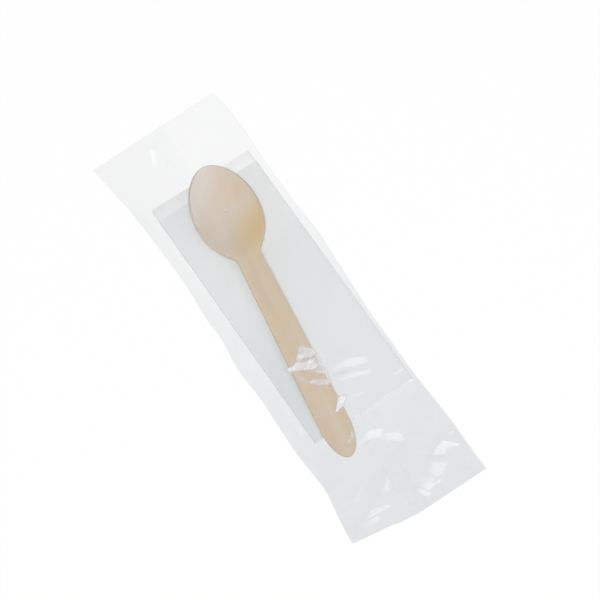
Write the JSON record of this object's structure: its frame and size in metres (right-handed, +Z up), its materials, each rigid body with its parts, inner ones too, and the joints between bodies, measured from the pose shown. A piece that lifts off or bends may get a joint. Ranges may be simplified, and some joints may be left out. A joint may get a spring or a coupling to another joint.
{
  "type": "wooden spoon napkin kit",
  "caption": "Clear crimp-sealed film sachet holding a pressed wooden spoon on a folded paper napkin, to hand out with takeaway food.",
  "frame": {"origin": "under the middle of the sachet, on the surface that it lies on", "axes": "+Y along the sachet towards the bowl of the spoon, +X across it, +Z up through the film"},
  "size_m": [0.072, 0.2286, 0.0122],
  "materials": {
    "clear_film": "clear glossy packaging film, slightly grey where it lies double",
    "tissue_paper": "soft white tissue with a fine embossed grain",
    "birch_veneer": "bare pale birch veneer with fine grain along the handle"
  },
  "bodies": {
    "root": {"film_sachet": "clear_film", "paper_napkin": "tissue_paper", "wooden_spoon": "birch_veneer"}
  },
  "joints": []
}
